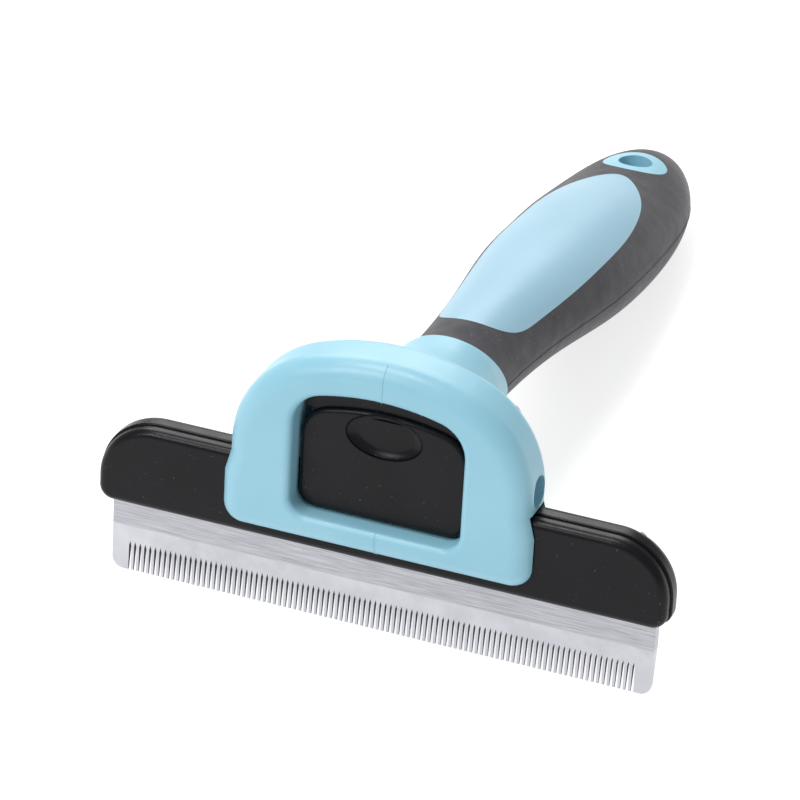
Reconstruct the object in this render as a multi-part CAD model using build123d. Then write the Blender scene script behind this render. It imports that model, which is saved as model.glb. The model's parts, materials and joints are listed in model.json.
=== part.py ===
from build123d import *
import os

# Detachable-head deshedding tool for dogs and cats: a slotted steel blade in a black two-piece
# holder, a blue D-shaped head frame with a thumb release in its window, and a soft-grip handle.
#
# Two working frames are used, both in millimetres.
# Head frame: X across the blade, Y back towards the handle, Z up the blade, origin at the middle
#   of the tooth tips on the front face of the blade.
# Neck frame: Y along the handle, Z its upper side, origin in the middle of the collar's rim.
# The finished tool lies as it rests on a table: on its tooth tips and the belly of its handle.

# ---------------------------------------------------------------- driving dimensions: blade
BLADE_WIDTH = 104.0
BLADE_HEIGHT = 24.0
BLADE_THICKNESS = 2.0
EDGE_THICKNESS = 0.35
BEVEL_HEIGHT = 9.4
BLADE_LOW_CORNER = 2.2
BLADE_HIGH_CORNER = 0.55
BLADE_END_LAND = 3.0
SLOT_PITCH = 1.0
SLOT_WIDTH = 0.58
SLOT_NECK_WIDTH = 0.44
SLOT_DEPTH = 6.0
SLOT_POINT = 0.9

# ---------------------------------------------------------------- driving dimensions: holder
# Heights follow the blade's top edge and widths follow the blade's ends.
HOLDER_OVERHANG = 2.6
BLADE_SEAT_DEPTH = 9.2
HOLDER_CROWN = 7.3
HOLDER_WIDTH = BLADE_WIDTH + 2 * HOLDER_OVERHANG
HOLDER_LOW = BLADE_HEIGHT - BLADE_SEAT_DEPTH
HOLDER_HIGH = BLADE_HEIGHT + HOLDER_CROWN
FRONT_SHELL_THICKNESS = 2.6
BACK_SHELL_WALL = 2.6
BACK_SHELL_THICKNESS = BLADE_THICKNESS + BACK_SHELL_WALL
SHELL_STEP = 0.4
HOLDER_LOW_CORNER = 2.8
HOLDER_HIGH_CORNER = 11.4
SHELL_EDGE_RADIUS = 1.5
SHELL_BACK_RADIUS = 2.7
GROOVE_RADIUS = 0.35
POCKET_GAP = 0.1
DOWEL_RADIUS = 1.5
DOWEL_END_INSET = 14.0
DOWEL_TOP_INSET = 4.4
DOWEL_BITE = 1.3
DOWEL_SPREAD = BLADE_WIDTH / 2 - DOWEL_END_INSET
DOWEL_HEIGHT = BLADE_HEIGHT - DOWEL_TOP_INSET
HOLDER_SCREW_INNER = 24.0
HOLDER_SCREW_END_INSET = 8.6
HOLDER_SCREW_RISE = 3.8
HOLDER_SCREW_FLOOR = 0.9
HOLDER_SCREW_SINK = 0.1
HOLDER_SCREW_SPREADS = (HOLDER_SCREW_INNER, HOLDER_WIDTH / 2 - HOLDER_SCREW_END_INSET)
HOLDER_SCREW_HEIGHT = BLADE_HEIGHT + HOLDER_SCREW_RISE

# ---------------------------------------------------------------- driving dimensions: head frame
FRAME_HALF_WIDTH = 28.4
FRAME_FOOT_FLARE = 1.1
FRAME_FOOT_HEIGHT = 10.2
FRAME_SHOULDER_HEIGHT = 18.2
FRAME_HEIGHT = 38.4
FRAME_FOOT_RISE = 2.5
FRAME_FRONT_WALL = 3.0
FRAME_REAR_WALL = 1.5
HOLDER_GAP = 0.3
CROWN_RADIUS = 44.0
SHOULDER_RADIUS = 20.0
FOOT_CORNER = 4.2
FRAME_EDGE_RADIUS = 3.8
FRAME_REAR_RADIUS = 3.0
FRAME_FOOT_HALF_WIDTH = FRAME_HALF_WIDTH + FRAME_FOOT_FLARE
FRAME_LOW = HOLDER_LOW + FRAME_FOOT_RISE
FRAME_HIGH = FRAME_LOW + FRAME_HEIGHT
FRAME_FOOT_TOP = FRAME_LOW + FRAME_FOOT_HEIGHT
FRAME_SHOULDER = FRAME_LOW + FRAME_SHOULDER_HEIGHT
FRAME_FRONT = -FRONT_SHELL_THICKNESS - FRAME_FRONT_WALL
SLOT_BACK = BACK_SHELL_THICKNESS + HOLDER_GAP
FRAME_BACK = SLOT_BACK + FRAME_REAR_WALL
WINDOW_HALF_WIDTH = 16.2
WINDOW_SILL = 5.3
WINDOW_LINTEL = 7.1
WINDOW_LOW = FRAME_LOW + WINDOW_SILL
WINDOW_HIGH = FRAME_HIGH - WINDOW_LINTEL
WINDOW_CROWN_RADIUS = 46.0
WINDOW_LOW_CORNER = 3.4
WINDOW_HIGH_CORNER = 6.5
WINDOW_EDGE_RADIUS = 1.3
WINDOW_LIP_WALL = 1.2
WINDOW_LIP_ROOT = 0.5
WINDOW_LIP_BACK = -0.6
SIDE_HOLE_RADIUS = 2.95
SIDE_HOLE_DEPTH = 4.0

# ---------------------------------------------------------------- driving dimensions: release
LEVER_GAP = 0.4
LEVER_SET_BACK = 3.8
LEVER_TOP_ROOM = 4.0
LEVER_EDGE_RADIUS = 0.9
LEVER_SKIRT_OVERLAP = 2.0
LEVER_SKIRT_FRONT = -0.8
LEVER_SKIRT_THICKNESS = 1.2
LEVER_TOP = WINDOW_HIGH - LEVER_TOP_ROOM
LEVER_FRONT = FRAME_FRONT + LEVER_SET_BACK
PIVOT_SET_BACK = 3.0
PIVOT_RISE = 3.6
PIVOT_DEPTH = LEVER_FRONT + PIVOT_SET_BACK
PIVOT_HEIGHT = HOLDER_HIGH + PIVOT_RISE
PIN_RADIUS = 1.1
PIN_RUNNING_GAP = 0.05
PIN_SEAT_GAP = 0.01
CAP_GAP = 0.05
CAP_THICKNESS = 2.4
EAR_SIDE_GAP = 0.4
EAR_WIDTH = 2.2
EAR_WALL = 1.15
EAR_ROOT = 0.6
SPRING_ROOM = 3.2
EAR_RADIUS = PIN_RADIUS + PIN_RUNNING_GAP + EAR_WALL
EAR_OUTER = WINDOW_HALF_WIDTH - LEVER_GAP - EAR_SIDE_GAP
EAR_INNER = EAR_OUTER - EAR_WIDTH
PIN_INNER = EAR_INNER - SPRING_ROOM
PIN_OUTER = FRAME_HALF_WIDTH - SIDE_HOLE_DEPTH - CAP_THICKNESS
THUMB_REST_DROP = 4.5
THUMB_REST_SIZE = (7.3, 1.9, 4.4)
THUMB_REST_ROOT = 0.6
SPRING_WIRE = 0.45
SPRING_BORE_GAP = 0.095
SPRING_BACK_GAP = 0.055
SPRING_PITCH = 0.62
SPRING_TURNS = 3.5
SPRING_LEG = 5.0
SPRING_FOOT = 1.6
SPRING_FOOT_GAP = 0.3
SPRING_PLAY = 0.4
RIB_HALF_WIDTH = 0.5
RIB_ROOT = 0.5
SPRING_MEAN_RADIUS = PIN_RADIUS + SPRING_BORE_GAP + SPRING_WIRE / 2
SPRING_OUTER_RADIUS = SPRING_MEAN_RADIUS + SPRING_WIRE / 2
LEVER_BACK = PIVOT_DEPTH - SPRING_OUTER_RADIUS - SPRING_BACK_GAP

# ---------------------------------------------------------------- driving dimensions: latch
TONGUE_SIDE_GAP = 0.5
TONGUE_HEIGHT = 10.2
TONGUE_BACK_STEP = 0.3
TONGUE_CHAMFER = 0.6
CATCH_DEPTH = 1.5
HOOK_SHOULDER = 3.5
HOOK_THICKNESS = 1.5
HOOK_BITE = 0.85
HOOK_RISE = 2.0
HOOK_PLAY = 0.25
CATCH_LEDGE = 1.8
LATCH_RELIEF_GAP = 1.7
TONGUE_HALF_WIDTH = PIN_INNER - TONGUE_SIDE_GAP
TONGUE_TOP = HOLDER_HIGH + TONGUE_HEIGHT
TONGUE_BACK = BACK_SHELL_THICKNESS - TONGUE_BACK_STEP
HOOK_HALF_WIDTH = TONGUE_HALF_WIDTH - HOOK_SHOULDER
HOOK_LOW = BLADE_HEIGHT + HOOK_RISE

# ---------------------------------------------------------------- driving dimensions: neck
HEAD_LEAN = 8.0
HANDLE_DROOP = 4.4
NECK_REACH = 27.9
NECK_RISE = 18.4
NECK_DEPTH = FRAME_BACK + NECK_REACH
NECK_HEIGHT = FRAME_LOW + NECK_RISE
FLANGE_INSET = 3.2
FLANGE_THICKNESS = 1.8
YOKE_SCREW_SIDE_INSET = 9.1
YOKE_SCREW_TOP_INSET = 11.6
YOKE_SCREW_REACH = 6.0
YOKE_SCREW_PILOT = 6.5
YOKE_SCREW_SPREAD = FRAME_HALF_WIDTH - YOKE_SCREW_SIDE_INSET
YOKE_SCREW_HEIGHT = FRAME_HIGH - YOKE_SCREW_TOP_INSET
# The blue hood behind the frame: distance behind it, half width, half height, middle above the neck.
HOOD_OVALS = ((0.0, 17.0, 14.4, 1.2), (5.0, 14.2, 12.4, 1.0), (12.5, 11.9, 10.6, 0.6))
HOOD_SECTIONS = tuple((FRAME_BACK + y, w, t, NECK_HEIGHT + rise) for y, w, t, rise in HOOD_OVALS)
HOOD_WALL = 2.6
COLLAR_START = -6.0
COLLAR_STEP = 0.55
RIM_TILT = 30.0
SPIGOT_SIZE = (6.6, 5.4)
SPIGOT_ROOT = 2.0
SPIGOT_END = 26.0
SPIGOT_GAP = 0.1

# ---------------------------------------------------------------- driving dimensions: handle
HANDLE_LENGTH = 118.2
GRIP_WALL = 2.0
CORE_START = 6.0
# Outer ovals of the handle: share of its length, half width, half thickness, rise of the centre.
GRIP_ROOT = (-8.0, 10.2, 9.4, -0.3)
GRIP_OVALS = (
    (0.0, 9.6, 9.0, -0.2),
    (0.085, 9.8, 9.1, 0.1),
    (0.22, 11.1, 9.4, 0.3),
    (0.372, 13.4, 10.3, -0.1),
    (0.541, 14.7, 11.2, -1.3),
    (0.711, 14.6, 10.3, -1.8),
    (0.846, 12.6, 8.5, -1.1),
    (0.931, 9.0, 6.8, -0.3),
    (0.977, 5.2, 4.4, -0.1),
    (1.0, 0.6, 0.5, -0.1),
)
GRIP_SECTIONS = (
    GRIP_ROOT,
    *((share * HANDLE_LENGTH, w, t, rise) for share, w, t, rise in GRIP_OVALS),
)
COLLAR_SECTIONS = 4
CORE_FIRST_SECTION = 2
CORE_LAST_SECTION = -1
CORE_SCREW_PLACES = (11.0, 21.0)
CORE_HOLLOW = (6.5, 4.2)
CORE_HOLLOW_LANDS = (8.0, 14.0)
EYELET_INSET = 16.9
EYELET_PLACE = HANDLE_LENGTH - EYELET_INSET
EYELET_WALL = 2.3
EYELET_SIDE_STRETCH = 0.8
HANG_HOLE_RADIUS = 3.4
EYELET_RADIUS = HANG_HOLE_RADIUS + EYELET_WALL
EYELET_HALF_WIDTH = EYELET_RADIUS + EYELET_SIDE_STRETCH
CORE_HOLLOW_RUN = (SPIGOT_END + CORE_HOLLOW_LANDS[0], EYELET_PLACE - CORE_HOLLOW_LANDS[1])
PANEL_FRONT = 4.6
PANEL_REAR_GAP = 4.3
PANEL_REAR = EYELET_PLACE - EYELET_RADIUS - PANEL_REAR_GAP
# Right-hand edge of the thumb panel: share of its length, half width.
PANEL_EDGE = (
    (0.018, 4.9),
    (0.16, 8.7),
    (0.418, 10.7),
    (0.648, 11.1),
    (0.836, 9.2),
    (0.949, 5.0),
)

# ---------------------------------------------------------------- driving dimensions: screws
SMALL_HEAD_RADIUS = 2.1
SMALL_HEAD_HEIGHT = 1.4
SMALL_SHANK_RADIUS = 1.1
SMALL_CLEARANCE = 0.15
CORE_HEAD_RADIUS = 2.6
CORE_HEAD_HEIGHT = 1.6
CORE_SHANK_RADIUS = 1.4
CORE_SCREW_REACH = 4.2
RECESS_WIDTH = 0.5
RECESS_DEPTH = 0.8

BIG = 200.0


# ---------------------------------------------------------------- helpers
def slab(profile, front, back):
    """A profile drawn in X and height, made solid between two depths."""
    return Pos(0, back, 0) * (Rot(90, 0, 0) * extrude(profile, back - front))


def plate(half_width, low, high, low_corner, high_corner):
    """A rectangle in X and height with one radius at its foot and another at its top."""
    face = Pos(0, (low + high) / 2) * Rectangle(2 * half_width, high - low)
    face = fillet(face.vertices().group_by(Axis.Y)[0], low_corner)
    return fillet(face.vertices().group_by(Axis.Y)[-1], high_corner)


def arched_plate(half_width, low, high, crown, low_corner, high_corner):
    """A plate whose top is an arc of the crown radius."""
    face = Pos(0, (low + high) / 2) * Rectangle(2 * half_width, high - low)
    face &= Pos(0, high - crown) * Circle(crown)
    face = fillet(face.vertices().group_by(Axis.Y)[0], low_corner)
    return fillet(face.vertices().group_by(Axis.Y)[-1], high_corner)


def rod_x(radius, start, end):
    """A round bar along X between two places."""
    return Pos((start + end) / 2, 0, 0) * (Rot(0, 90, 0) * Cylinder(radius, end - start))


def rod_y(radius, start, end):
    """A round bar along Y between two places."""
    return Pos(0, (start + end) / 2, 0) * (Rot(90, 0, 0) * Cylinder(radius, end - start))


def block(x_range, y_range, z_range):
    """A box between the given limits."""
    sizes = [high - low for low, high in (x_range, y_range, z_range)]
    middle = [(high + low) / 2 for low, high in (x_range, y_range, z_range)]
    return Pos(*middle) * Box(*sizes)


def screw(head_radius, head_height, shank_radius, shank_length):
    """A pan-head screw along Y: underside of its head at Y 0, shank towards -Y, cross recess."""
    body = rod_y(head_radius, 0, head_height) + rod_y(shank_radius, -shank_length, 0)
    reach = (head_height - RECESS_DEPTH, head_height + 1)
    arm = 0.6 * head_radius
    body -= block((-arm, arm), reach, (-RECESS_WIDTH / 2, RECESS_WIDTH / 2))
    return body - block((-RECESS_WIDTH / 2, RECESS_WIDTH / 2), reach, (-arm, arm))


def oval(place, half_width, half_height, rise):
    """An ellipse across Y."""
    across = Plane(origin=(0, place, rise), x_dir=(1, 0, 0), z_dir=(0, -1, 0))
    return across * Ellipse(half_width, half_height)


def tube_of(sections, inset=0.0):
    """A smooth solid through ellipses across Y, each smaller by the inset."""
    return loft([oval(y, w - inset, t - inset, rise) for y, w, t, rise in sections])


# ---------------------------------------------------------------- comb blade
def comb_blade():
    section = Polyline(
        (0, 0),
        (EDGE_THICKNESS, 0),
        (BLADE_THICKNESS, BEVEL_HEIGHT),
        (BLADE_THICKNESS, BLADE_HEIGHT),
        (0, BLADE_HEIGHT),
        close=True,
    )
    bar = extrude(Plane.YZ * make_face(section), BLADE_WIDTH / 2, both=True)
    outline = plate(BLADE_WIDTH / 2, 0, BLADE_HEIGHT, BLADE_LOW_CORNER, BLADE_HIGH_CORNER)
    bar &= slab(outline, -1, BLADE_THICKNESS + 1)
    neck = SLOT_DEPTH - SLOT_POINT
    slot = make_face(
        Polyline(
            (-SLOT_WIDTH / 2, -1),
            (SLOT_WIDTH / 2, -1),
            (SLOT_NECK_WIDTH / 2, neck),
            (0, SLOT_DEPTH),
            (-SLOT_NECK_WIDTH / 2, neck),
            close=True,
        )
    )
    count = int((BLADE_WIDTH - 2 * BLADE_END_LAND) / SLOT_PITCH)
    first = -(count - 1) / 2 * SLOT_PITCH
    slots = [Pos(first + i * SLOT_PITCH, 0) * slot for i in range(count)]
    bar -= [slab(one, -1, BLADE_THICKNESS + 1) for one in slots]
    for side in (-1, 1):
        bar -= Pos(side * DOWEL_SPREAD, 0, DOWEL_HEIGHT) * dowel_hole()
    return bar


def dowel_hole():
    return rod_y(DOWEL_RADIUS + PIN_SEAT_GAP, -DOWEL_BITE, BLADE_THICKNESS + DOWEL_BITE)


def blade_dowels():
    pin = rod_y(DOWEL_RADIUS, -DOWEL_BITE, BLADE_THICKNESS + DOWEL_BITE)
    return [Pos(side * DOWEL_SPREAD, 0, DOWEL_HEIGHT) * pin for side in (-1, 1)]


# ---------------------------------------------------------------- blade holder
def holder_screw_places():
    return [(side * x, HOLDER_SCREW_HEIGHT) for x in HOLDER_SCREW_SPREADS for side in (-1, 1)]


def holder_front_shell():
    outline = plate(
        HOLDER_WIDTH / 2 - SHELL_STEP,
        HOLDER_LOW,
        HOLDER_HIGH - SHELL_STEP,
        HOLDER_LOW_CORNER,
        HOLDER_HIGH_CORNER - SHELL_STEP,
    )
    shell = slab(outline, -FRONT_SHELL_THICKNESS, 0)
    shell = fillet(shell.edges().group_by(Axis.Y)[0], SHELL_EDGE_RADIUS)
    # The middle is open so that the release lever can lie flush with the holder's front.
    relief = WINDOW_HALF_WIDTH + LATCH_RELIEF_GAP
    low = WINDOW_LOW - LATCH_RELIEF_GAP
    shell -= block((-relief, relief), (-BIG, BIG), (low, BIG))
    for side in (-1, 1):
        shell -= Pos(side * DOWEL_SPREAD, 0, DOWEL_HEIGHT) * dowel_hole()
    for x, z in holder_screw_places():
        shell -= Pos(x, 0, z) * rod_y(SMALL_SHANK_RADIUS, -holder_screw_bite(), 1)
    return shell


def holder_screw_bite():
    return FRONT_SHELL_THICKNESS - HOLDER_SCREW_FLOOR


def holder_screw_seat():
    return BACK_SHELL_THICKNESS - SMALL_HEAD_HEIGHT - HOLDER_SCREW_SINK


def holder_back_shell():
    outline = plate(
        HOLDER_WIDTH / 2, HOLDER_LOW, HOLDER_HIGH, HOLDER_LOW_CORNER, HOLDER_HIGH_CORNER
    )
    shell = slab(outline, 0, BACK_SHELL_THICKNESS)
    shell = fillet(shell.edges().group_by(Axis.Y)[-1], SHELL_BACK_RADIUS)
    shell = fillet(shell.edges().group_by(Axis.Y)[0], GROOVE_RADIUS)
    tongue = block(
        (-TONGUE_HALF_WIDTH, TONGUE_HALF_WIDTH),
        (CATCH_DEPTH, TONGUE_BACK),
        (HOLDER_HIGH - SHELL_BACK_RADIUS, TONGUE_TOP),
    )
    tongue = chamfer(tongue.edges().group_by(Axis.Z)[-1], TONGUE_CHAMFER)
    shell += tongue
    half = BLADE_WIDTH / 2 + POCKET_GAP
    shell -= block((-half, half), (-1, BLADE_THICKNESS), (0, BLADE_HEIGHT + POCKET_GAP))
    # The hook of the release lever stands in this slot, under the catch ledge.
    reach = HOOK_HALF_WIDTH + HOOK_PLAY
    slot_low = HOOK_LOW - HOOK_PLAY
    slot_high = HOOK_LOW + HOOK_THICKNESS + HOOK_PLAY
    shell -= block((-reach, reach), (-1, CATCH_DEPTH), (slot_low, slot_high))
    shell -= block((-reach, reach), (-1, CATCH_DEPTH), (slot_high + CATCH_LEDGE, BIG))
    for side in (-1, 1):
        shell -= Pos(side * DOWEL_SPREAD, 0, DOWEL_HEIGHT) * dowel_hole()
    for x, z in holder_screw_places():
        seat = holder_screw_seat()
        shell -= Pos(x, 0, z) * rod_y(SMALL_SHANK_RADIUS + SMALL_CLEARANCE, -1, BIG)
        shell -= Pos(x, seat, z) * rod_y(SMALL_HEAD_RADIUS + SMALL_CLEARANCE, 0, BIG)
    return shell


def holder_screws():
    seat = holder_screw_seat()
    one = screw(
        SMALL_HEAD_RADIUS, SMALL_HEAD_HEIGHT, SMALL_SHANK_RADIUS, seat + holder_screw_bite()
    )
    return [Pos(x, seat, z) * one for x, z in holder_screw_places()]


# ---------------------------------------------------------------- head frame
def frame_outline():
    """The D of the frame: straight foot, slight shoulder, rounded top."""
    face = Pos(0, (FRAME_LOW + FRAME_HIGH) / 2) * Rectangle(
        2 * FRAME_HALF_WIDTH, FRAME_HIGH - FRAME_LOW
    )
    face &= Pos(0, FRAME_HIGH - CROWN_RADIUS) * Circle(CROWN_RADIUS)
    face = fillet(face.vertices().group_by(Axis.Y)[-1], SHOULDER_RADIUS)
    foot = make_face(
        Polyline(
            (-FRAME_FOOT_HALF_WIDTH, FRAME_LOW),
            (FRAME_FOOT_HALF_WIDTH, FRAME_LOW),
            (FRAME_FOOT_HALF_WIDTH, FRAME_FOOT_TOP),
            (FRAME_HALF_WIDTH - 1, FRAME_SHOULDER),
            (1 - FRAME_HALF_WIDTH, FRAME_SHOULDER),
            (-FRAME_FOOT_HALF_WIDTH, FRAME_FOOT_TOP),
            close=True,
        )
    )
    face += foot
    return fillet(face.vertices().group_by(Axis.Y)[0], FOOT_CORNER)


def window_outline(gap, high):
    return arched_plate(
        WINDOW_HALF_WIDTH - gap,
        WINDOW_LOW + gap,
        high,
        WINDOW_CROWN_RADIUS,
        WINDOW_LOW_CORNER - gap,
        WINDOW_HIGH_CORNER - gap,
    )


def yoke_screw_places():
    return [(side * YOKE_SCREW_SPREAD, YOKE_SCREW_HEIGHT) for side in (-1, 1)]


def window_lip():
    """A thin wall round the window, which hides the edge of the slot behind it."""
    outer = window_outline(-WINDOW_LIP_WALL, WINDOW_HIGH + WINDOW_LIP_WALL)
    ring = outer - window_outline(0, WINDOW_HIGH)
    return slab(ring, -FRONT_SHELL_THICKNESS - HOLDER_GAP - WINDOW_LIP_ROOT, WINDOW_LIP_BACK)


def head_frame():
    outline = frame_outline()
    body = slab(outline, FRAME_FRONT, FRAME_BACK)
    body = fillet(body.edges().group_by(Axis.Y)[0], FRAME_EDGE_RADIUS)
    body = fillet(body.edges().group_by(Axis.Y)[-1], FRAME_REAR_RADIUS)
    window = slab(window_outline(0, WINDOW_HIGH), FRAME_FRONT - 1, SLOT_BACK)
    body -= window
    rim = [e for e in body.edges().group_by(Axis.Y)[0] if abs(e.center().X) < WINDOW_HALF_WIDTH + 1]
    rim = [e for e in rim if WINDOW_LOW - 1 < e.center().Z < WINDOW_HIGH + 1]
    body = fillet(rim, WINDOW_EDGE_RADIUS)
    # The holder slides up into this slot, which is open at the foot and at both sides.
    ceiling = HOLDER_HIGH + HOLDER_GAP
    slot_front = -FRONT_SHELL_THICKNESS - HOLDER_GAP
    body -= block((-BIG, BIG), (slot_front, SLOT_BACK), (-BIG, ceiling))
    body += window_lip()
    for x, z in yoke_screw_places():
        body -= Pos(x, 0, z) * rod_y(SMALL_SHANK_RADIUS, FRAME_BACK - YOKE_SCREW_PILOT, FRAME_BACK)
    for side in (-1, 1):
        bore = rod_x(PIN_RADIUS + PIN_SEAT_GAP, WINDOW_HALF_WIDTH - 1, PIN_OUTER + 1)
        hole = rod_x(SIDE_HOLE_RADIUS, PIN_OUTER, BIG)
        body -= side_block(side, Pos(0, PIVOT_DEPTH, PIVOT_HEIGHT) * (bore + hole))
    # A short rib takes the foot of each release spring.
    for side in (-1, 1):
        body += side_block(side, spring_rib())
    return body


def side_block(side, shape):
    """The shape for the right-hand side, or its mirror image for the left."""
    return mirror(shape, Plane.YZ) if side < 0 else shape


def spring_rib():
    front = PIVOT_DEPTH + SPRING_OUTER_RADIUS + SPRING_FOOT_GAP
    end = spring_start() + SPRING_TURNS * SPRING_PITCH
    across = (end - RIB_HALF_WIDTH, end + RIB_HALF_WIDTH)
    return block(across, (front, SLOT_BACK + RIB_ROOT), (PIVOT_HEIGHT, PIVOT_HEIGHT + SPRING_FOOT))


# ---------------------------------------------------------------- release lever and its pins
def release_lever():
    pad = slab(window_outline(LEVER_GAP, LEVER_TOP), LEVER_FRONT, LEVER_BACK)
    body = fillet(pad.edges().group_by(Axis.Y)[0], LEVER_EDGE_RADIUS)
    # Behind the pad's top a thinner skirt closes the rest of the window.
    skirt = window_outline(LEVER_GAP, WINDOW_HIGH - LEVER_GAP)
    skirt &= Pos(0, LEVER_TOP - LEVER_SKIRT_OVERLAP + BIG / 2) * Rectangle(BIG, BIG)
    body += slab(skirt, LEVER_SKIRT_FRONT, LEVER_SKIRT_FRONT + LEVER_SKIRT_THICKNESS)
    for side in (-1, 1):
        ear = Pos(0, PIVOT_DEPTH, PIVOT_HEIGHT) * rod_x(EAR_RADIUS, EAR_INNER, EAR_OUTER)
        web = block(
            (EAR_INNER, EAR_OUTER),
            (LEVER_BACK - EAR_ROOT, PIVOT_DEPTH),
            (PIVOT_HEIGHT - EAR_RADIUS, PIVOT_HEIGHT + EAR_RADIUS),
        )
        body += side_block(side, ear + web)
    for side in (-1, 1):
        bore = rod_x(PIN_RADIUS + PIN_RUNNING_GAP, EAR_INNER - 1, EAR_OUTER + 0.5)
        body -= side_block(side, Pos(0, PIVOT_DEPTH, PIVOT_HEIGHT) * bore)
    body += block(
        (-HOOK_HALF_WIDTH, HOOK_HALF_WIDTH),
        (LEVER_BACK - EAR_ROOT, HOOK_BITE),
        (HOOK_LOW, HOOK_LOW + HOOK_THICKNESS),
    )
    # The raised rest for the thumb, a low dome that dies into the pad's rounded top edge.
    dome = Pos(0, LEVER_FRONT, LEVER_TOP - THUMB_REST_DROP) * scale(Sphere(1), by=THUMB_REST_SIZE)
    return body + (dome & block((-BIG, BIG), (-BIG, LEVER_FRONT + THUMB_REST_ROOT), (-BIG, BIG)))


def lever_pin(side):
    return side_block(side, Pos(0, PIVOT_DEPTH, PIVOT_HEIGHT) * rod_x(PIN_RADIUS, PIN_INNER, PIN_OUTER))


def pin_cap(side):
    end = FRAME_HALF_WIDTH - SIDE_HOLE_DEPTH
    cap = rod_x(SIDE_HOLE_RADIUS - CAP_GAP, PIN_OUTER, end)
    cap = chamfer(cap.edges().group_by(Axis.X)[-1], 0.3)
    return side_block(side, Pos(0, PIVOT_DEPTH, PIVOT_HEIGHT) * cap)


def spring_start():
    return PIN_INNER + SPRING_PLAY


def lever_spring(side):
    """A torsion spring round the pin: its long leg lies behind the lever, its foot before the rib."""
    coil = Helix(SPRING_PITCH, SPRING_TURNS * SPRING_PITCH, SPRING_MEAN_RADIUS)
    leg = Line(coil @ 0 - (coil % 0) * SPRING_LEG, coil @ 0)
    foot = Line(coil @ 1, coil @ 1 + (coil % 1) * SPRING_FOOT)
    section = Plane(origin=leg @ 0, z_dir=leg % 0) * Circle(SPRING_WIRE / 2)
    wire = sweep(section, path=Wire([leg, coil, foot]))
    # Turned so that the coil lies round the pin with both its ends pointing up.
    wire = Rot(0, 90, 0) * (Rot(0, 0, -90) * wire)
    return side_block(side, Pos(spring_start(), PIVOT_DEPTH, PIVOT_HEIGHT) * wire)


# ---------------------------------------------------------------- rear yoke and collar
NECK = Location((0, NECK_DEPTH, NECK_HEIGHT), (-HANDLE_DROOP, 0, 0))


def spigot(gap=0.0):
    half_width, half_height = SPIGOT_SIZE
    bar = loft(
        [
            oval(COLLAR_START - SPIGOT_ROOT, half_width + gap, half_height + gap, 0),
            oval(SPIGOT_END + gap, half_width + gap, half_height + gap, 0),
        ]
    )
    return bar


def hood():
    """The blue hood, drawn in from the frame's width to the collar's."""
    _, half_width, half_height, rise = GRIP_ROOT
    collar = oval(COLLAR_START, half_width + COLLAR_STEP, half_height + COLLAR_STEP, rise)
    faces = [oval(*section) for section in HOOD_SECTIONS]
    return loft([*faces, NECK * collar])


def flange_back():
    return FRAME_BACK + FLANGE_THICKNESS


def rear_yoke():
    flange = slab(offset(frame_outline(), -FLANGE_INSET), FRAME_BACK, flange_back())
    body = flange + hood()
    body -= tube_of(HOOD_SECTIONS, HOOD_WALL)
    body += NECK * spigot()
    for x, z in yoke_screw_places():
        body -= Pos(x, 0, z) * rod_y(SMALL_SHANK_RADIUS + SMALL_CLEARANCE, 0, flange_back() + 1)
    for place in CORE_SCREW_PLACES:
        body -= NECK * (Pos(0, place, 0) * Cylinder(CORE_SHANK_RADIUS, BIG))
    return body


def yoke_screws():
    length = FLANGE_THICKNESS + YOKE_SCREW_REACH
    one = screw(SMALL_HEAD_RADIUS, SMALL_HEAD_HEIGHT, SMALL_SHANK_RADIUS, length)
    return [Pos(x, flange_back(), z) * one for x, z in yoke_screw_places()]


def behind_rim():
    """Everything on the handle's side of the collar's rim, which leans forward at the top."""
    return Rot(RIM_TILT, 0, 0) * block((-BIG, BIG), (0, BIG), (-BIG, BIG))


def collar_ring():
    ring = tube_of(GRIP_SECTIONS[:COLLAR_SECTIONS], -COLLAR_STEP) - behind_rim()
    ring -= block((-BIG, BIG), (-BIG, COLLAR_START), (-BIG, BIG))
    return ring - spigot(SPIGOT_GAP)


# ---------------------------------------------------------------- handle
def handle_skin():
    return tube_of(GRIP_SECTIONS)


def handle_core():
    """The hard core under the soft grip, one grip wall inside the skin."""
    inner = GRIP_SECTIONS[CORE_FIRST_SECTION:CORE_LAST_SECTION]
    start = (CORE_START, *GRIP_SECTIONS[CORE_FIRST_SECTION - 1][1:])
    core = tube_of((start, *inner), GRIP_WALL)
    return core - spigot(SPIGOT_GAP)


def eyelet_prism():
    """The oval of the hang hole's eyelet, right through the handle."""
    ring = Ellipse(EYELET_HALF_WIDTH, EYELET_RADIUS)
    return Pos(0, EYELET_PLACE, 0) * extrude(ring, BIG, both=True)


def panel_prism():
    """The outline of the thumb panel from above, over the upper half of the handle."""
    length = PANEL_REAR - PANEL_FRONT
    right = [(x, PANEL_FRONT + share * length) for share, x in PANEL_EDGE]
    left = [(-x, y) for x, y in reversed(right)]
    face = make_face(Spline((0, PANEL_FRONT), *right, (0, PANEL_REAR), *left, periodic=True))
    return extrude(face, BIG)


def core_hollow():
    start, end = CORE_HOLLOW_RUN
    half_width, half_height = CORE_HOLLOW
    return loft([oval(start, half_width, half_height, 0), oval(end, half_width, half_height, 0)])


def core_screw_holes():
    """Bores for the core screws, open at the handle's underside."""
    seat = core_head_seat()
    shank_length = BIG + CORE_SCREW_REACH
    shank = Pos(0, 0, CORE_SCREW_REACH - shank_length / 2) * Cylinder(CORE_SHANK_RADIUS, shank_length)
    head = Pos(0, 0, seat - BIG / 2) * Cylinder(CORE_HEAD_RADIUS, BIG)
    return [Pos(0, place, 0) * (shank + head) for place in CORE_SCREW_PLACES]


def core_head_seat():
    return -SPIGOT_SIZE[1] - SPIGOT_GAP


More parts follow.
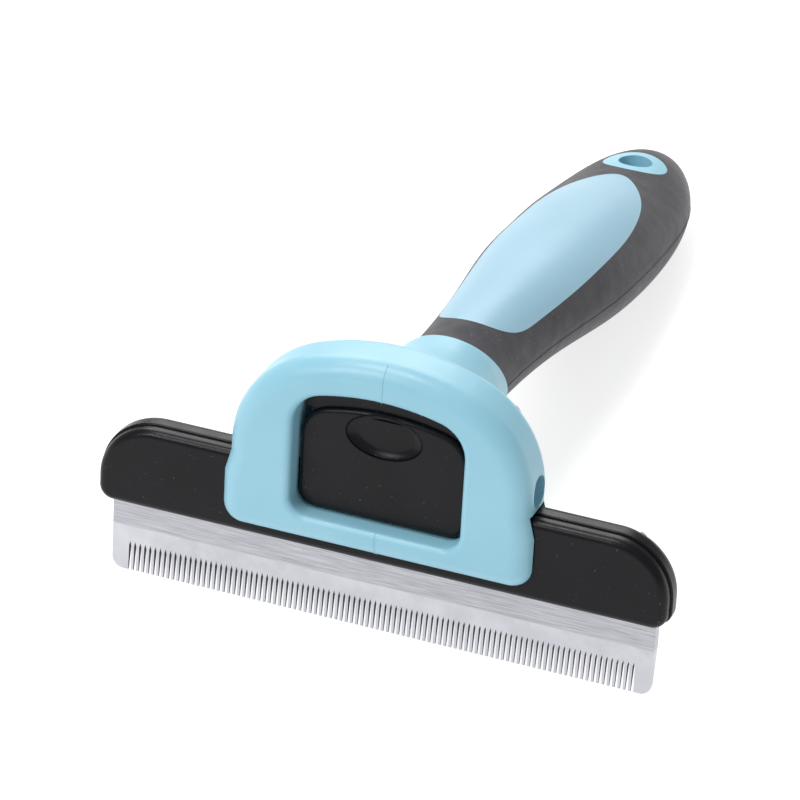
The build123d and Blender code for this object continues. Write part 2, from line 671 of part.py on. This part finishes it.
def core_half(upper):
    half = handle_core() - core_hollow() - eyelet_prism()
    keep = (0, BIG) if upper else (-BIG, 0)
    half &= block((-BIG, BIG), (-BIG, BIG), keep)
    return half - core_screw_holes()


def core_screws():
    shank_length = CORE_SCREW_REACH - core_head_seat()
    one = Rot(-90, 0, 0) * screw(CORE_HEAD_RADIUS, CORE_HEAD_HEIGHT, CORE_SHANK_RADIUS, shank_length)
    return [Pos(0, place, core_head_seat()) * one for place in CORE_SCREW_PLACES]


def grip_overmould(skin, core):
    grip = (skin & behind_rim()) - core - spigot() - eyelet_prism() - panel_prism()
    for one in core_screws():
        grip -= one
    return grip


def thumb_panel(skin, core):
    panel = (skin & panel_prism()) - core - spigot(SPIGOT_GAP)
    return panel - eyelet_prism()


def hang_eyelet(skin):
    sleeve = skin & eyelet_prism()
    sleeve -= Pos(0, EYELET_PLACE, 0) * Cylinder(HANG_HOLE_RADIUS, BIG)
    return sleeve


# ---------------------------------------------------------------- assembly
def as_list(made):
    return made if isinstance(made, list) else [made]


def tool():
    skin = handle_skin()
    core = handle_core()
    head = {
        "comb_blade": comb_blade(),
        "blade_dowels": blade_dowels(),
        "holder_front_shell": holder_front_shell(),
        "holder_back_shell": holder_back_shell(),
        "holder_screws": holder_screws(),
        "head_frame": head_frame(),
        "release_lever": release_lever(),
        "rear_yoke": rear_yoke(),
        "yoke_screws": yoke_screws(),
    }
    for name, side in (("left", -1), ("right", 1)):
        head["lever_pin_" + name] = lever_pin(side)
        head["lever_spring_" + name] = lever_spring(side)
        head["pin_cap_" + name] = pin_cap(side)
    neck = {
        "collar_ring": collar_ring(),
        "handle_core_upper": core_half(True),
        "handle_core_lower": core_half(False),
        "core_screws": core_screws(),
        "grip_overmould": grip_overmould(skin, core),
        "thumb_panel": thumb_panel(skin, core),
        "hang_eyelet": hang_eyelet(skin),
    }
    for name, made in neck.items():
        head[name] = [NECK * piece for piece in as_list(made)]
    lean = Rot(-HEAD_LEAN, 0, 0)
    return {name: Compound([lean * piece for piece in as_list(made)]) for name, made in head.items()}


def main():
    pieces = tool()
    whole = Compound(list(pieces.values())).bounding_box(optimal=True)
    rest = Pos(0, -(whole.min.Y + whole.max.Y) / 2, -whole.min.Z)
    os.makedirs("parts", exist_ok=True)
    for name, piece in pieces.items():
        export_step(rest * piece, f"parts/{name}.step")
    pivot = rest * Rot(-HEAD_LEAN, 0, 0) * Pos(0, PIVOT_DEPTH, PIVOT_HEIGHT)
    slide = Rot(-HEAD_LEAN, 0, 0) * Pos(0, 0, 1)
    hang = rest * Rot(-HEAD_LEAN, 0, 0) * NECK * Pos(0, EYELET_PLACE, 0)
    up = Rot(-HEAD_LEAN, 0, 0) * Location((0, 0, 0), (-HANDLE_DROOP, 0, 0)) * Pos(0, 0, 1)
    print("lever pivot", tuple(pivot.position))
    print("head slide axis", tuple(slide.position))
    print("hang hole middle", tuple(hang.position), "axis", tuple(up.position))
    print("size", tuple(whole.size))


if __name__ == "__main__":
    main()
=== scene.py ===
# %% [markdown]
# A deshedding tool for dogs and cats. A slotted steel blade sits in a black holder, a blue frame
# holds that head, and a soft grip carries it all. The shapes come from the CAD model, so this
# lesson is about finishes, light and the small details that make moulded plastic look moulded.
# The model is loaded first, because every later place is read from it.

# %% Load the model
import json
import math

import bpy
from mathutils import Matrix, Vector


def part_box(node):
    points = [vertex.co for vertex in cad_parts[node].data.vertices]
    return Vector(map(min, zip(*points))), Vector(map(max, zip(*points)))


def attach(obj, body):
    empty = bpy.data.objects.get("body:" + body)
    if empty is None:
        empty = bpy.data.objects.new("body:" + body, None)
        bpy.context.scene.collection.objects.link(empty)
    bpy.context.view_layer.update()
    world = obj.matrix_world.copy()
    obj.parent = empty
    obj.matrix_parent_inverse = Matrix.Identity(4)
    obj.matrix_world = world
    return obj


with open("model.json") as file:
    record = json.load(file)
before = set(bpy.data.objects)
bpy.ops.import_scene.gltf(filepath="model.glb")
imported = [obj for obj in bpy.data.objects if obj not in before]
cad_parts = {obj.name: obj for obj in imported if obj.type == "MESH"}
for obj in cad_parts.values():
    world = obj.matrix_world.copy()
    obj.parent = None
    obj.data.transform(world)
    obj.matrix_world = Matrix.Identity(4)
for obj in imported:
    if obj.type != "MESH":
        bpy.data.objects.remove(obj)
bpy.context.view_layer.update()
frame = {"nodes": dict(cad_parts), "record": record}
nodes = frame["nodes"]
print("CAD nodes:", len(nodes))

# %% [markdown]
# The tool lies on its tooth tips and the belly of its handle, with its head leaning back a little.
# Patterns that follow the head, such as the ground band of the blade, need that leaning frame. Its
# origin is the middle of the tooth tips, which is the lowest front edge of the blade. The depth
# direction points from the front face of the head to its back.

# %% The leaning frame of the head
HEAD_LEAN = math.radians(8)
lean_sine, lean_cosine = math.sin(HEAD_LEAN), math.cos(HEAD_LEAN)
blade_low, blade_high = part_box("comb_blade")
TIP = Vector((0, blade_low.y, blade_low.z))
head_back = Vector((0, lean_cosine, -lean_sine))
head_up = Vector((0, lean_sine, lean_cosine))
print("tooth tips at", [round(1000 * c, 2) for c in TIP])

# %% [markdown]
# A product picture is taken from well away with a long lens, so that near and far ends keep nearly
# the same size. The camera stands in front, to the right and above. Its place is given from the
# tooth tips, and its two angles say how far it is turned round the tool and how far it looks down.

# %% Camera
CAMERA_TURN = math.radians(21.427)
CAMERA_DROP = math.radians(35.7)
CAMERA_PLACE = Vector((0.26698, -0.66881, 0.56828))
LENS = 229.585
SENSOR_WIDTH = 36
FARTHEST_SEEN = 20
right = Vector((math.cos(CAMERA_TURN), math.sin(CAMERA_TURN), 0))
forward = Vector((
    -math.sin(CAMERA_TURN) * math.cos(CAMERA_DROP),
    math.cos(CAMERA_TURN) * math.cos(CAMERA_DROP),
    -math.sin(CAMERA_DROP),
))
up = right.cross(forward)
camera = bpy.data.objects.new("camera", bpy.data.cameras.new("camera"))
bpy.context.scene.collection.objects.link(camera)
camera.data.sensor_width = SENSOR_WIDTH
camera.data.lens = LENS
camera.data.clip_end = FARTHEST_SEEN
turn = Matrix((right, up, -forward)).transposed().to_4x4()
camera.matrix_world = Matrix.Translation(CAMERA_PLACE + TIP) @ turn
bpy.context.scene.camera = camera
print("camera", [round(c, 3) for c in camera.location])

# %% [markdown]
# The floor is a light table: a white sheet that also glows a little, so that only faint shadows are
# left. It lies a tenth of a millimetre below the tool, so that the two never share a face. The
# world behind it is plain white and gives the same soft light from every side.

# %% Floor and world
FLOOR_WIDTH = 6
FLOOR_DROP = 0.0001
FLOOR_GREY = (0.5, 0.5, 0.5, 1)
FLOOR_GLOW = 0.74
WORLD_GLOW = 0.42
WHITE = (1, 1, 1, 1)
bpy.ops.object.select_all(action="DESELECT")
bpy.ops.mesh.primitive_plane_add(size=FLOOR_WIDTH, location=(0, 0, -FLOOR_DROP))
floor = bpy.context.active_object
floor.name = "floor"
paper = bpy.data.materials.new("white_paper")
paper.use_nodes = True
shader = paper.node_tree.nodes["Principled BSDF"]
shader.inputs["Base Color"].default_value = FLOOR_GREY
shader.inputs["Roughness"].default_value = 0.9
shader.inputs["Specular IOR Level"].default_value = 0.1
shader.inputs["Emission Color"].default_value = WHITE
shader.inputs["Emission Strength"].default_value = FLOOR_GLOW
floor.data.materials.append(paper)

world = bpy.data.worlds.new("studio")
bpy.context.scene.world = world
world.use_nodes = True
world.node_tree.nodes["Background"].inputs["Color"].default_value = WHITE
world.node_tree.nodes["Background"].inputs["Strength"].default_value = WORLD_GLOW
print("stage:", floor.name, "and", world.name)

# %% [markdown]
# Three soft panels shape the tool. The large one behind makes every upward face pale and glossy at
# a low angle, as a window behind a table does. The small one above fills the top of the handle, and
# the small one in front lights the faces that look at the camera. All stand to the left, so the
# right-hand sides stay a little darker. Colours are shown as they are, with no film look.

# %% Light panels
LIGHT_AIM = Vector((0, 0, 0.02))
PANELS = {  # place in metres, width in metres, power in watts
    "back_panel": ((-0.45, 1.10, 0.85), 1.0, 12),
    "top_panel": ((-0.30, -0.15, 1.2), 0.4, 6.5),
    "front_panel": ((-0.55, -0.85, 0.95), 0.42, 5.5),
}
for name, (place, width, power) in PANELS.items():
    lamp = bpy.data.lights.new(name, "AREA")
    lamp.size = width
    lamp.energy = power
    holder = bpy.data.objects.new(name, lamp)
    bpy.context.scene.collection.objects.link(holder)
    holder.location = place
    holder.rotation_euler = (LIGHT_AIM - Vector(place)).to_track_quat("-Z", "Y").to_euler()
bpy.context.scene.view_settings.view_transform = "Standard"
print("lights:", list(PANELS))

# %% [markdown]
# Every finish below is built from the same few nodes: noise on Object coordinates for grain and
# for slow changes of tone. Small helpers add one node each, so that a finish reads as a recipe.
# These first ones start a material, give it a place to read from, and make a cloudy pattern. A
# texture picture could do it too, but noise has no seams and keeps its scale on every part.

# %% Helpers that start a finish


def finish(name, color, roughness):
    """A new material, its tree and its shader. The plain colour shows where nodes aren't read."""
    material = bpy.data.materials.new(name)
    material.use_nodes = True
    tree = material.node_tree
    shader = tree.nodes["Principled BSDF"]
    shader.inputs["Base Color"].default_value = (*color, 1)
    shader.inputs["Roughness"].default_value = roughness
    return material, tree, shader


def object_coordinates(tree, stretch=(1, 1, 1)):
    """Object coordinates in metres, scaled per axis."""
    where = tree.nodes.new("ShaderNodeTexCoord")
    mapping = tree.nodes.new("ShaderNodeMapping")
    mapping.inputs["Scale"].default_value = stretch
    tree.links.new(where.outputs["Object"], mapping.inputs["Vector"])
    return mapping.outputs["Vector"]


def noise(tree, coordinates, scale, detail=2.0, rough=0.5):
    """Cloudy noise with so many lumps a metre."""
    node = tree.nodes.new("ShaderNodeTexNoise")
    node.inputs["Scale"].default_value = scale
    node.inputs["Detail"].default_value = detail
    node.inputs["Roughness"].default_value = rough
    tree.links.new(coordinates, node.inputs["Vector"])
    return node.outputs["Fac"]


print("helpers:", finish.__name__, object_coordinates.__name__, noise.__name__)

# %% [markdown]
# A pattern is only a value between 0 and 1. A ramp turns it into tones, a mix lays one tone over
# another, one step of maths compares or multiplies values, and a bump turns a value into relief.

# %% Helpers that use a pattern


def ramp(tree, value, stops):
    """A value turned into colours or greys by stops of (place, colour)."""
    node = tree.nodes.new("ShaderNodeValToRGB")
    elements = node.color_ramp.elements
    while len(elements) < len(stops):
        elements.new(0.5)
    for element, (place, color) in zip(elements, stops):
        red_green_blue = color if isinstance(color, tuple) else (color, color, color)
        element.position = place
        element.color = (*red_green_blue, 1)
    tree.links.new(value, node.inputs["Fac"])
    return node.outputs["Color"]


def mix(tree, factor, first, second):
    """Two tones mixed by a factor; each tone may be a socket or a colour."""
    node = tree.nodes.new("ShaderNodeMix")
    node.data_type = "RGBA"
    factor_input, first_input, second_input = node.inputs[0], node.inputs[6], node.inputs[7]
    tree.links.new(factor, factor_input)
    for tone, tone_input in ((first, first_input), (second, second_input)):
        if isinstance(tone, tuple):
            tone_input.default_value = (*tone, 1)
        else:
            tree.links.new(tone, tone_input)
    return node.outputs[2]


def maths(tree, operation, first, second=None):
    """One step of maths on a value, with a number or another value if it needs one."""
    node = tree.nodes.new("ShaderNodeMath")
    node.operation = operation
    tree.links.new(first, node.inputs[0])
    if isinstance(second, bpy.types.NodeSocket):
        tree.links.new(second, node.inputs[1])
    elif second is not None:
        node.inputs[1].default_value = second
    return node.outputs[0]


def bump(tree, shader, height, distance, strength, below=None):
    """Relief of that depth in metres on the shader, over an earlier relief if there is one."""
    node = tree.nodes.new("ShaderNodeBump")
    node.inputs["Strength"].default_value = strength
    node.inputs["Distance"].default_value = distance
    tree.links.new(height, node.inputs["Height"])
    if below is not None:
        tree.links.new(below, node.inputs["Normal"])
    tree.links.new(node.outputs["Normal"], shader.inputs["Normal"])
    return node.outputs["Normal"]


print("helpers:", ramp.__name__, mix.__name__, maths.__name__, bump.__name__)

# %% [markdown]
# The frame, yoke, collar and eyelet are moulded in one sky-blue plastic with a satin face. Real
# moulded plastic is never quite even: it has a faint mottle where it cooled, and a very fine
# texture that softens reflections. A little scattering under the surface keeps edges luminous.

# %% Blue satin plastic
BLUE = (0.31, 0.62, 0.75)
SCATTER_WEIGHT = 0.08
SCATTER_DEPTH = (0.002, 0.003, 0.004)
blue, tree, shader = finish("blue_satin_plastic", BLUE, 0.36)
where = object_coordinates(tree)
mottle = noise(tree, where, 55, 3)
tone = ramp(tree, mottle, ((0.3, (0.26, 0.53, 0.65)), (0.7, (0.29, 0.56, 0.68))))
tree.links.new(tone, shader.inputs["Base Color"])
satin = ramp(tree, noise(tree, where, 260, 3), ((0.3, 0.31), (0.7, 0.42)))
tree.links.new(satin, shader.inputs["Roughness"])
cooling = bump(tree, shader, noise(tree, where, 120, 2), 0.00005, 0.3)
bump(tree, shader, noise(tree, where, 4200, 2), 0.00002, 0.45, cooling)
shader.inputs["Subsurface Weight"].default_value = SCATTER_WEIGHT
shader.inputs["Subsurface Radius"].default_value = SCATTER_DEPTH
print(blue.name)

# %% [markdown]
# The holder and the lever are black plastic from a spark-eroded mould: a fine even grain that
# makes reflections wide and soft. A few pale specks of dust lie on it, as on any black plastic.
# Dust is the very top of a fine noise, so a narrow ramp near its peak leaves only single specks.

# %% Black grained plastic
DUST_SPECKS = 2100
black, tree, shader = finish("black_grained_plastic", (0.005, 0.005, 0.006), 0.36)
shader.inputs["Specular IOR Level"].default_value = 0.2
where = object_coordinates(tree)
dust = ramp(tree, noise(tree, where, DUST_SPECKS, 1), ((0.745, 0.0), (0.785, 1.0)))
patches = noise(tree, where, 90, 2)
tone = ramp(tree, patches, ((0.35, (0.0042, 0.0040, 0.0056)), (0.7, (0.0062, 0.0060, 0.0080))))
tree.links.new(mix(tree, dust, tone, (0.07, 0.07, 0.075)), shader.inputs["Base Color"])
satin = ramp(tree, noise(tree, where, 400, 3), ((0.3, 0.26), (0.7, 0.34)))
tree.links.new(satin, shader.inputs["Roughness"])
bump(tree, shader, noise(tree, where, 3800, 3, 0.6), 0.00003, 0.6)
print(black.name)

# %% [markdown]
# The grip is soft rubber over a hard core. It scatters light at grazing angles, so its edges look
# dusty, and handling leaves it a little uneven. Sheen on the shader gives the dusty edge.

# %% Soft grip rubber
rubber, tree, shader = finish("soft_grip_rubber", (0.055, 0.054, 0.062), 0.72)
shader.inputs["Specular IOR Level"].default_value = 0.35
where = object_coordinates(tree)
handled = noise(tree, where, 45, 4, 0.6)
tone = ramp(tree, handled, ((0.3, (0.022, 0.021, 0.027)), (0.75, (0.038, 0.036, 0.045))))
dust = ramp(tree, noise(tree, where, DUST_SPECKS, 1), ((0.74, 0.0), (0.78, 1.0)))
tree.links.new(mix(tree, dust, tone, (0.16, 0.16, 0.17)), shader.inputs["Base Color"])
dullness = ramp(tree, noise(tree, where, 300, 3), ((0.3, 0.6), (0.7, 0.78)))
tree.links.new(dullness, shader.inputs["Roughness"])
bump(tree, shader, noise(tree, where, 3000, 3, 0.65), 0.00005, 0.6)
shader.inputs["Sheen Weight"].default_value = 0.25
shader.inputs["Sheen Roughness"].default_value = 0.4
print(rubber.name)

# %% [markdown]
# The blade is a steel strip. The band at its bottom is ground, so it is smoother and lighter than
# the brushed face above, and how far up the leaning blade a point lies decides which it gets. The
# slots between the teeth look almost black, because light that goes in hardly comes out. So few
# rays reach their walls in a render that they would sparkle, so the walls are simply made dark.
# They are found by what sets them apart: they face sideways, low down, and not at the blade's ends.

# %% Places on the blade
BAND_TOP = 0.0092
BAND_EDGE = 0.00015
SLOT_DEPTH = 0.006
SLOT_MARGIN = 0.0001
END_MARGIN = 0.0012
SIDEWAYS = 0.3


def above_band_top(tree):
    """How far a point lies above the top of the ground band, up the leaning blade, in metres."""
    split = tree.nodes.new("ShaderNodeVectorMath")
    split.operation = "DOT_PRODUCT"
    split.inputs[1].default_value = head_up
    tree.links.new(object_coordinates(tree), split.inputs[0])
    tips_up = TIP.y * lean_sine + TIP.z * lean_cosine
    return maths(tree, "SUBTRACT", split.outputs["Value"], tips_up + BAND_TOP)


def inside_slots(tree, climb):
    """One on the cut walls of the slots, and zero elsewhere."""
    where = tree.nodes.new("ShaderNodeTexCoord")
    facing = tree.nodes.new("ShaderNodeSeparateXYZ")
    place = tree.nodes.new("ShaderNodeSeparateXYZ")
    tree.links.new(where.outputs["Normal"], facing.inputs[0])
    tree.links.new(where.outputs["Object"], place.inputs[0])
    turned = maths(tree, "ABSOLUTE", facing.outputs["X"])
    from_middle = maths(tree, "ABSOLUTE", place.outputs["X"])
    sideways = maths(tree, "GREATER_THAN", turned, SIDEWAYS)
    within = maths(tree, "LESS_THAN", from_middle, blade_high.x - END_MARGIN)
    toothed = maths(tree, "LESS_THAN", climb, SLOT_DEPTH + SLOT_MARGIN - BAND_TOP)
    return maths(tree, "MULTIPLY", maths(tree, "MULTIPLY", sideways, within), toothed)


print("ground band", 1000 * BAND_TOP, "mm high, slots", 1000 * SLOT_DEPTH, "mm deep")

# %% [markdown]
# Brushing leaves fine lines along the strip: noise that is stretched a lot along the blade. The
# ground band has only small scuffs. Both feed the colour and the roughness, and the lines feed a
# very slight bump too, so that a reflection breaks up along them.

# %% Blade steel
BRUSH_STRETCH = (140, 5200, 5200)
SCUFF_STRETCH = (300, 300, 300)
steel, tree, shader = finish("blade_steel", (0.55, 0.55, 0.58), 0.3)
shader.inputs["Metallic"].default_value = 1.0
climb = above_band_top(tree)
edge = tree.nodes.new("ShaderNodeMapRange")
edge.inputs["From Min"].default_value = -BAND_EDGE
edge.inputs["From Max"].default_value = BAND_EDGE
tree.links.new(climb, edge.inputs["Value"])
above = edge.outputs["Result"]
lines = noise(tree, object_coordinates(tree, BRUSH_STRETCH), 1.0, 3, 0.6)
scuff = noise(tree, object_coordinates(tree, SCUFF_STRETCH), 1.0, 4)
brushed = ramp(tree, lines, ((0.3, (0.30, 0.30, 0.33)), (0.7, (0.56, 0.56, 0.60))))
ground = ramp(tree, scuff, ((0.3, (0.49, 0.49, 0.53)), (0.7, (0.58, 0.58, 0.62))))
brushed_dullness = ramp(tree, lines, ((0.3, 0.3), (0.7, 0.46)))
ground_dullness = ramp(tree, scuff, ((0.3, 0.30), (0.7, 0.38)))
face = mix(tree, above, ground, brushed)
dullness = mix(tree, above, ground_dullness, brushed_dullness)
slot_wall = inside_slots(tree, climb)
tree.links.new(mix(tree, slot_wall, face, (0.035, 0.035, 0.042)), shader.inputs["Base Color"])
tree.links.new(mix(tree, slot_wall, dullness, (0.6, 0.6, 0.6)), shader.inputs["Roughness"])
bump(tree, shader, lines, 0.00001, 0.35)
print(steel.name)

# %% [markdown]
# Screws, dowels, pins and springs are plain zinc-plated steel, dull rather than bright. Plating is
# slightly cloudy, so both its tone and its roughness drift over a millimetre or so.

# %% Plated steel
plated, tree, shader = finish("plated_steel", (0.6, 0.6, 0.62), 0.34)
shader.inputs["Metallic"].default_value = 1.0
where = object_coordinates(tree)
cloudy = noise(tree, where, 900, 3)
tone = ramp(tree, cloudy, ((0.3, (0.5, 0.5, 0.52)), (0.7, (0.68, 0.68, 0.7))))
tree.links.new(tone, shader.inputs["Base Color"])
dullness = ramp(tree, noise(tree, where, 700, 2), ((0.3, 0.26), (0.7, 0.42)))
tree.links.new(dullness, shader.inputs["Roughness"])
print(plated.name)

# %% [markdown]
# The thumb panel is the same blue with a smoother face, so it carries broad soft reflections. Its
# tone is set a little deeper than the frame's, because its gloss adds light of its own.

# %% Blue gloss plastic
gloss, tree, shader = finish("blue_gloss_plastic", BLUE, 0.22)
where = object_coordinates(tree)
mottle = noise(tree, where, 35, 2)
tone = ramp(tree, mottle, ((0.3, (0.28, 0.485, 0.60)), (0.7, (0.30, 0.505, 0.62))))
tree.links.new(tone, shader.inputs["Base Color"])
satin = ramp(tree, noise(tree, where, 150, 3), ((0.3, 0.36), (0.7, 0.42)))
tree.links.new(satin, shader.inputs["Roughness"])
bump(tree, shader, noise(tree, where, 60, 1), 0.00004, 0.2)
shader.inputs["Subsurface Weight"].default_value = SCATTER_WEIGHT
shader.inputs["Subsurface Radius"].default_value = SCATTER_DEPTH
print(gloss.name)

# %% [markdown]
# Each CAD node takes its finish by name. The mesh of a node stays as it came, and only the finish
# in its material slot is changed.

# %% Finishes on the CAD nodes
FINISHES = {
    blue: ["head_frame", "rear_yoke", "pin_cap_left", "pin_cap_right", "collar_ring",
           "hang_eyelet", "handle_core_upper", "handle_core_lower"],
    black: ["holder_front_shell", "holder_back_shell", "release_lever"],
    rubber: ["grip_overmould"],
    steel: ["comb_blade"],
    plated: ["blade_dowels", "holder_screws", "yoke_screws", "core_screws", "lever_pin_left",
             "lever_pin_right", "lever_spring_left", "lever_spring_right"],
    gloss: ["thumb_panel"],
}
for material, names in FINISHES.items():
    for name in names:
        slots = nodes[name].data.materials
        slots.clear()
        slots.append(material)
print("nodes with a finish:", sum(len(names) for names in FINISHES.values()))

# %% [markdown]
# Moulded parts carry fine raised lines where plastic flows or mould halves meet. Such a line could
# be drawn as a curve and laid on the part, but it would float over or sink into a curved skin.
# Instead it is a ribbon cut from a copy of that skin between two close planes and given a wall, so
# that it follows the surface exactly and stands a tenth of a millimetre proud.

# %% A ribbon from a part's skin
PROUD = 0.00009
SAME_POINT = 1e-6
SMOOTH_BELOW = math.radians(40)


def between(middle, normal, half_width):
    """Two planes that leave only what is within half_width of the middle plane."""
    normal = normal.normalized()
    return [(middle + normal * half_width, normal), (middle - normal * half_width, -normal)]


def skin_ribbon(name, node, material, planes, keep):
    """A ribbon of a node's skin between planes, kept where a test on each face says so."""
    piece = bpy.data.objects.new(name, nodes[node].data.copy())
    bpy.context.scene.collection.objects.link(piece)
    bpy.ops.object.select_all(action="DESELECT")
    bpy.context.view_layer.objects.active = piece
    piece.select_set(True)
    bpy.ops.object.mode_set(mode="EDIT")
    bpy.ops.mesh.select_mode(type="FACE")
    bpy.ops.mesh.select_all(action="SELECT")
    bpy.ops.mesh.remove_doubles(threshold=SAME_POINT)
    for place, normal in planes:
        bpy.ops.mesh.select_all(action="SELECT")
        bpy.ops.mesh.bisect(plane_co=place, plane_no=normal, clear_outer=True)
    bpy.ops.mesh.select_all(action="DESELECT")
    bpy.ops.object.mode_set(mode="OBJECT")
    for face in piece.data.polygons:
        face.select = not keep(face)
    bpy.ops.object.mode_set(mode="EDIT")
    bpy.ops.mesh.delete(type="FACE")
    bpy.ops.object.mode_set(mode="OBJECT")
    wall = piece.modifiers.new("wall", "SOLIDIFY")
    wall.thickness = 2 * PROUD
    wall.offset = 0
    bpy.ops.object.modifier_apply(modifier=wall.name)
    piece.data.materials.clear()
    piece.data.materials.append(material)
    bpy.ops.object.shade_smooth_by_angle(angle=SMOOTH_BELOW)
    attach(piece, "handle")
    print(name, "faces", len(piece.data.polygons))
    return piece


# %% [markdown]
# The frame has a weld line, where the two flows of plastic that ran round the window met again. It
# runs down the front of the frame above and below the window, a hair to one side of the middle.

# %% Weld line of the frame
WELD_SIDE = 0.0004
WELD_HALF_WIDTH = 0.00014
FRONT_DEPTH = -0.0034
FRONT_FACING = 0.3
front_of_frame = TIP + FRONT_DEPTH * head_back


def on_frame_front(face):
    """The frame's outer skin ahead of the window's wall: its face and the roll of its edges."""
    ahead = (face.center - front_of_frame).dot(head_back)
    return ahead < 0 and face.normal.dot(head_back) < -FRONT_FACING


weld_planes = between(Vector((WELD_SIDE, 0, 0)), Vector((1, 0, 0)), WELD_HALF_WIDTH)
weld = skin_ribbon("frame_weld_line", "head_frame", blue, weld_planes, on_frame_front)

# %% [markdown]
# The grip has a parting line along both sides, where the two halves of its mould closed. Its plane
# lies square to the hang hole, and a little below the hole's middle.

# %% Parting line of the grip
SEAM_DROP = 0.0012
SEAM_HALF_WIDTH = 0.00016
SIDE_FACING = 0.35
PAST_HANG_HOLE = 0.004
mount = frame["record"]["mounts"][0]
hang = Vector(mount["pos_m"])
grip_up = Vector(mount["axis"])
grip_along = Vector((0, grip_up.z, -grip_up.y))


def on_grip_outside(face):
    """The outer skin of the grip's sides, not the inside of the sleeve or the very tail."""
    outward = Vector((face.center.x, 0, 0)).normalized()
    on_side = face.normal.dot(outward) > SIDE_FACING
    return on_side and (face.center - hang).dot(grip_along) < PAST_HANG_HOLE


seam_planes = between(hang - grip_up * SEAM_DROP, grip_up, SEAM_HALF_WIDTH)
seam = skin_ribbon("grip_parting_line", "grip_overmould", rubber, seam_planes, on_grip_outside)
